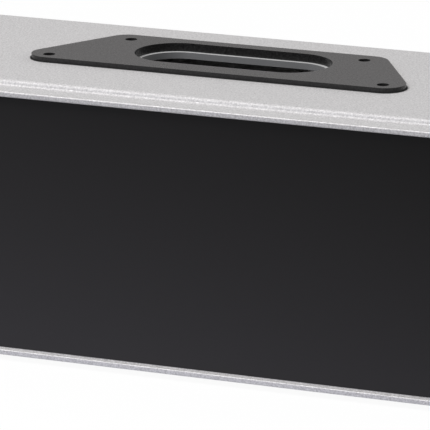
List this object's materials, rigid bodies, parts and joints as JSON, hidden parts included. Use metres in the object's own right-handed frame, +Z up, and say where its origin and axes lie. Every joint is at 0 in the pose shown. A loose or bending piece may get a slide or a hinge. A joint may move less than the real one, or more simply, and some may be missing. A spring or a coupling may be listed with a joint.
{
  "type": "operator panel enclosure",
  "caption": "Silver sheet enclosure with a stepped front frame round a black front panel, and a black support-arm adapter plate with a cable slot on top.",
  "frame": {"origin": "middle of the footprint, on the surface that the housing stands on", "axes": "+X along the width, to the right as seen from the front; +Y to the rear; +Z up"},
  "size_m": [0.5002, 0.207, 0.1981],
  "materials": {
    "silver_coat": "silver metallic powder coat with a fine grain",
    "panel_black": "satin black",
    "black_coat": "fine-textured black powder coat",
    "bare_aluminium": "milled, bare",
    "seal": "matt sealing rubber",
    "zinc_steel": "zinc plated"
  },
  "bodies": {
    "root": {"housing_shell": "silver_coat", "front_flange": "silver_coat", "rear_flange": "silver_coat", "front_frame": "silver_coat", "frame_gasket": "seal", "frame_screws": "zinc_steel", "frame_washers": "zinc_steel", "front_panel": "panel_black", "panel_gasket": "seal", "panel_studs": "zinc_steel", "panel_washers": "zinc_steel", "panel_nuts": "zinc_steel", "adapter_plate": "black_coat", "adapter_gasket": "seal", "adapter_studs": "zinc_steel", "reinforcing_plate": "bare_aluminium", "adapter_washers": "zinc_steel", "adapter_nuts": "zinc_steel", "rear_cover": "silver_coat", "rear_gasket": "seal", "cover_screws": "zinc_steel", "cover_washers": "seal", "rivet_nuts": "zinc_steel", "earth_stud": "zinc_steel", "earth_washers": "zinc_steel", "earth_nuts": "zinc_steel"}
  },
  "joints": []
}
